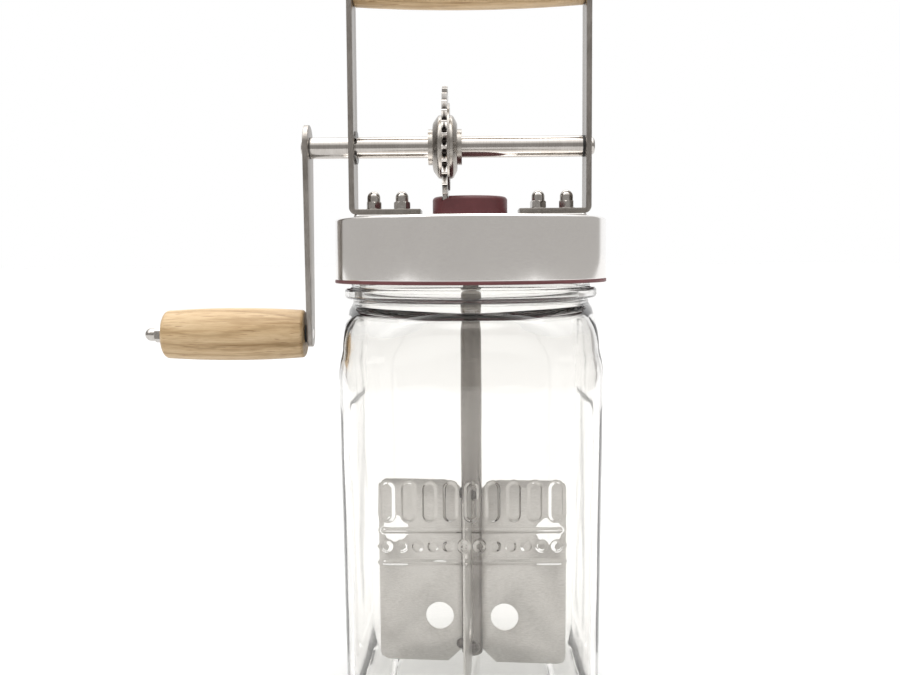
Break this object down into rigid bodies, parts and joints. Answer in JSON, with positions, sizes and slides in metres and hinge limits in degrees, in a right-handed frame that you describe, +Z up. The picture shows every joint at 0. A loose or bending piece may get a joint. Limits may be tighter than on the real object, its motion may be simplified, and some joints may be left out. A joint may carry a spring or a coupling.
{
  "type": "butter churn",
  "caption": "Hand-cranked butter churn: square glass jar with a screw lid, a strap frame with a wooden grip, and a geared crank that turns a bladed paddle in the jar.",
  "frame": {"origin": "centre of the jar's base, on the surface it stands on", "axes": "+X from the crank side to the far side along the crank shaft, +Y from the decorated front to the back, +Z up along the jar and the paddle shaft"},
  "size_m": [0.2647, 0.153, 0.418],
  "materials": {
    "glass": "clear moulded glass",
    "lid_steel": "polished stainless sheet",
    "frame_steel": "brushed stainless strap",
    "shaft_steel": "ground bright bar",
    "gear_steel": "satin stainless",
    "paddle_steel": "satin stainless sheet",
    "hardware_steel": "bright stainless",
    "spring_steel": "black spring steel",
    "maroon_plastic": "moulded, semi-gloss",
    "black_plastic": "matt",
    "bearing_plastic": "plain acetal",
    "gasket_rubber": "food-grade silicone",
    "grip_wood": "turned hardwood, clear satin finish"
  },
  "bodies": {
    "jar": {"glass_jar": "glass"},
    "lid": {"lid_shell": "lid_steel", "lid_liner": "maroon_plastic", "lid_gasket": "gasket_rubber", "gear_cover": "maroon_plastic", "frame_left": "frame_steel", "frame_right": "frame_steel", "frame_bolts": "hardware_steel", "frame_washers": "hardware_steel", "frame_cap_nuts": "hardware_steel", "top_grip": "grip_wood", "top_grip_rod": "hardware_steel", "top_grip_nuts": "hardware_steel", "paddle_bush": "bearing_plastic", "pinion_washer": "bearing_plastic"},
    "crank": {"crank_shaft": "shaft_steel", "shaft_end_washer": "black_plastic", "shaft_end_screw": "hardware_steel", "retaining_clip": "spring_steel", "drive_wheel": "gear_steel", "wheel_backing": "gear_steel", "hub_shell_left": "gear_steel", "hub_shell_right": "gear_steel", "hub_flange_left": "gear_steel", "hub_flange_right": "gear_steel", "wheel_key": "gear_steel", "crank_arm": "frame_steel", "arm_washer": "black_plastic", "arm_screw": "hardware_steel", "grip_rod": "shaft_steel", "grip_inner_washer": "black_plastic", "grip_outer_washer": "hardware_steel", "grip_cap_nut": "hardware_steel"},
    "turning_grip": {"crank_grip": "grip_wood"},
    "paddle": {"paddle_shaft": "paddle_steel", "crown_pinion": "gear_steel", "pinion_pin": "gear_steel", "paddle_snap_ring": "spring_steel", "blade_welds": "paddle_steel", "paddle_blade_right": "paddle_steel", "paddle_blade_rear": "paddle_steel", "paddle_blade_left": "paddle_steel", "paddle_blade_front": "paddle_steel"}
  },
  "joints": [
    {"name": "lid_lift", "type": "slide", "parent": "jar", "child": "lid", "axis": [0, 0, 1], "range_m": [0, 0.27]},
    {"name": "crank_turn", "type": "hinge", "parent": "lid", "child": "crank", "pos_m": [0, 0, 0.3121], "axis": [1, 0, 0], "continuous": true},
    {"name": "grip_spin", "type": "hinge", "parent": "crank", "child": "turning_grip", "pos_m": [-0.1355, 0, 0.207], "axis": [1, 0, 0], "continuous": true},
    {"name": "paddle_turn", "type": "hinge", "parent": "lid", "child": "paddle", "pos_m": [0, 0, 0.19], "axis": [0, 0, 1], "continuous": true}
  ],
  "couplings": [
    {"joint": "paddle_turn", "follows": "crank_turn", "ratio": -2.3077}
  ]
}
